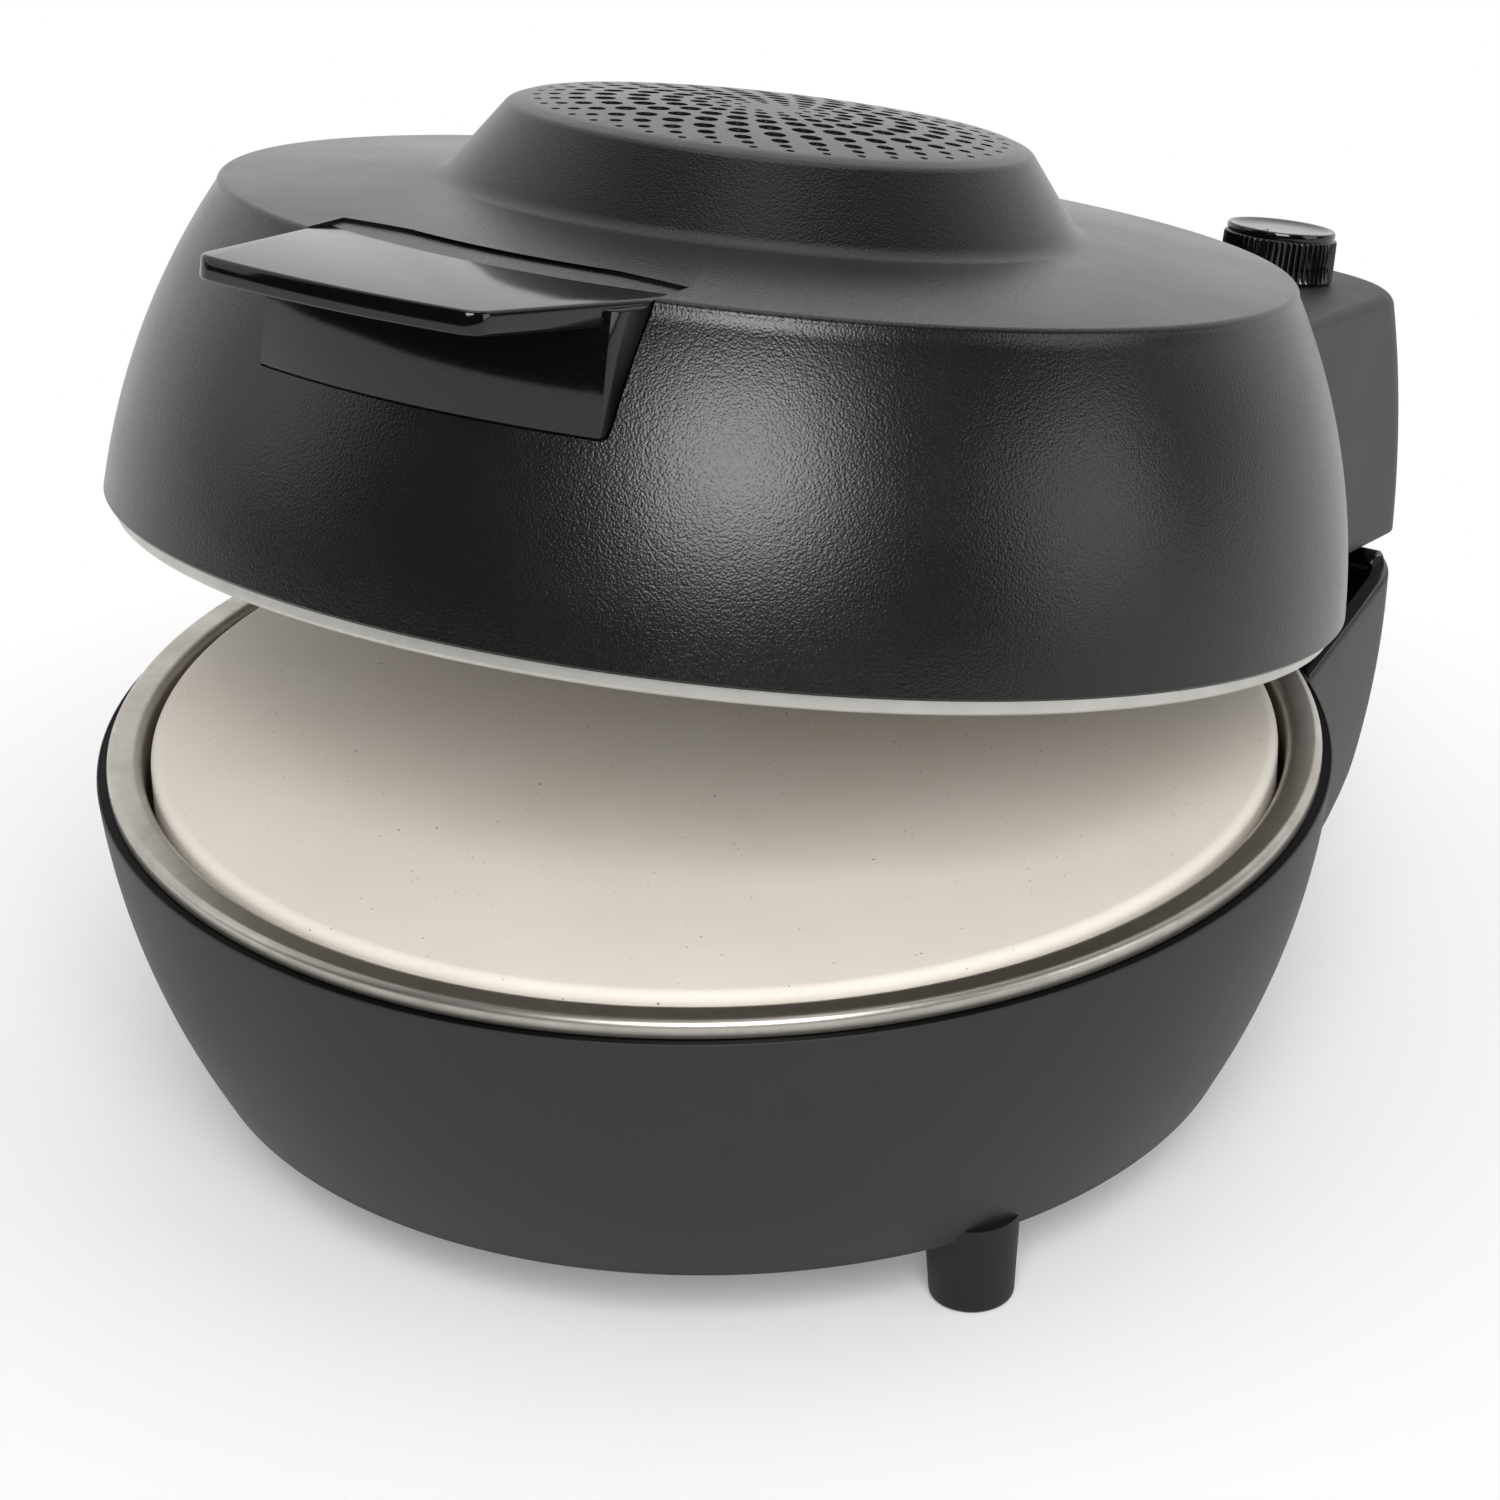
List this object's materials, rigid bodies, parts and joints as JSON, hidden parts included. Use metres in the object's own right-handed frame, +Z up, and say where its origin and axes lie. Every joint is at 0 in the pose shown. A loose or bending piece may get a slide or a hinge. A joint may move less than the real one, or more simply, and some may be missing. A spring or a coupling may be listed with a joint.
{
  "type": "electric pizza maker",
  "caption": "Round electric pizza maker: a grey bowl with a stone plate in a steel rim, under a black domed lid on a rear hinge, with a vented cap, a front handle and a thermostat knob.",
  "frame": {"origin": "centre of the stone's upper face, on the axis of the round base", "axes": "+Z up, +Y towards the hinge and the control housing, +X to the right as seen from the handle at the front"},
  "size_m": [0.3398, 0.4345, 0.2909],
  "materials": {
    "base_shell": "satin moulded, dark grey",
    "black_trim": "fine matt, black",
    "gloss_black": "polished, black",
    "pins": "zinc plated",
    "cover_sheet": "galvanised sheet",
    "feet": "matt",
    "tray_steel": "satin, lightly scratched",
    "stone": "fired stone with dark specks",
    "heater_tube": "heat darkened",
    "ceramic": "fired, unglazed",
    "lead": "silicone insulated",
    "lid_shell": "pebbled, black",
    "lid_liner": "satin aluminised sheet",
    "insulation": "mineral wool felt",
    "sensor": "drawn copper"
  },
  "bodies": {
    "base": {"base_shell": "base_shell", "rim_frame": "black_trim", "hinge_well_liner": "gloss_black", "hinge_block": "black_trim", "hinge_pin_right": "pins", "hinge_pin_left": "pins", "bottom_cover": "cover_sheet", "bottom_screws": "pins", "foot_front_right": "feet", "foot_front_left": "feet", "foot_rear": "feet", "steel_tray": "tray_steel", "pizza_stone": "stone", "stone_supports": "cover_sheet", "lower_heating_element": "heater_tube", "lower_element_holders": "cover_sheet", "base_terminal_block": "ceramic", "base_wiring": "lead", "cord_gland": "feet"},
    "lid": {"lid_shell": "lid_shell", "vent_cap": "lid_shell", "handle": "gloss_black", "handle_screws": "pins", "lid_liner": "lid_liner", "insulation_pad": "insulation", "upper_heating_element": "heater_tube", "upper_element_holders": "cover_sheet", "control_housing": "base_shell", "housing_floor": "black_trim", "lid_knuckles": "black_trim", "floor_screws": "pins", "thermostat": "ceramic", "sensor_tube": "sensor", "thermal_fuse": "ceramic", "lid_wiring": "lead"},
    "control_knob": {"knob": "gloss_black", "control_shaft": "pins"}
  },
  "joints": [
    {"name": "lid_hinge", "type": "hinge", "parent": "base", "child": "lid", "pos_m": [0, 0.195, -0.00805], "axis": [-1, 0, 0], "range_deg": [-13.5, 66.5]},
    {"name": "knob_turn", "type": "hinge", "parent": "lid", "child": "control_knob", "pos_m": [0.0666, 0.21443, 0.07033], "axis": [0, 0.2334, 0.9724], "range_deg": [0, 300]}
  ]
}
